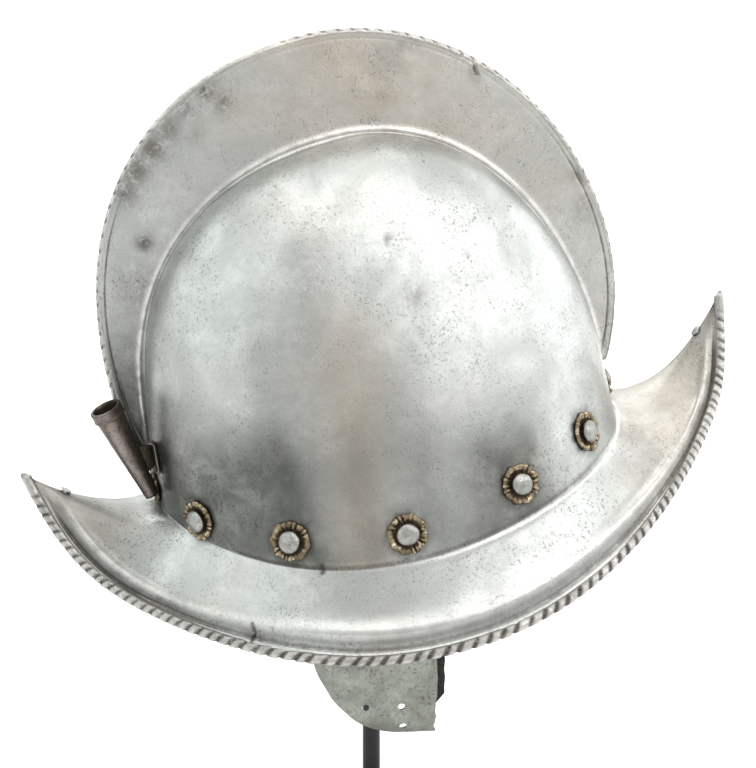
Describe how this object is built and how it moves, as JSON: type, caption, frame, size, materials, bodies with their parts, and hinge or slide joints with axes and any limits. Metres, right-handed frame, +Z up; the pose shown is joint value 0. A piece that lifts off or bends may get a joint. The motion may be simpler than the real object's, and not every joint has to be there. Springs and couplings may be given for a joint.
{
  "type": "morion helmet on a stand",
  "caption": "Steel comb morion with roped edges, riveted rosette washers, a plume socket and hanging cheek plates, held on a plain black post stand.",
  "frame": {"origin": "centre of the stand's underside, on the axis of its post", "axes": "+Z up along the post, +X to the helmet's front, +Y to the wearer's left"},
  "size_m": [0.3538, 0.241, 0.4364],
  "materials": {
    "helmet_steel": "old bright steel, softly polished, finely pitted, with grey-brown tarnish patches",
    "rivet_steel": "worn steel, rubbed bright on the head",
    "washer_brass": "old brass, dark in the hollows and bright on the lobes",
    "holder_steel": "brown patinated steel with rubbed edges",
    "cheek_steel": "dull pale grey steel, mottled",
    "black_leather": "near-black worn leather",
    "stand_black": "satin black paint",
    "stand_rest_black": "black painted wood"
  },
  "bodies": {
    "root": {"rosette_washer_back": "washer_brass", "lining_rivet_back": "rivet_steel", "rosette_washer_right_1": "washer_brass", "lining_rivet_right_1": "rivet_steel", "rosette_washer_left_1": "washer_brass", "lining_rivet_left_1": "rivet_steel", "rosette_washer_right_2": "washer_brass", "lining_rivet_right_2": "rivet_steel", "rosette_washer_left_2": "washer_brass", "lining_rivet_left_2": "rivet_steel", "rosette_washer_right_3": "washer_brass", "lining_rivet_right_3": "rivet_steel", "rosette_washer_left_3": "washer_brass", "lining_rivet_left_3": "rivet_steel", "rosette_washer_right_4": "washer_brass", "lining_rivet_right_4": "rivet_steel", "rosette_washer_left_4": "washer_brass", "lining_rivet_left_4": "rivet_steel", "rosette_washer_right_5": "washer_brass", "lining_rivet_right_5": "rivet_steel", "rosette_washer_left_5": "washer_brass", "lining_rivet_left_5": "rivet_steel", "rosette_washer_front": "washer_brass", "lining_rivet_front": "rivet_steel", "brim_rivet_front": "rivet_steel", "brim_rivet_back": "rivet_steel", "plume_holder": "holder_steel", "plume_rivet": "holder_steel", "helmet_shell": "helmet_steel", "cheek_plate_right": "cheek_steel", "cheek_leather_right": "black_leather", "cheek_rivet_right_1": "rivet_steel", "cheek_rivet_right_2": "rivet_steel", "cheek_plate_left": "cheek_steel", "cheek_leather_left": "black_leather", "cheek_rivet_left_1": "rivet_steel", "cheek_rivet_left_2": "rivet_steel", "stand_rest": "stand_rest_black", "stand_base": "stand_black", "stand_pole": "stand_black"}
  },
  "joints": []
}
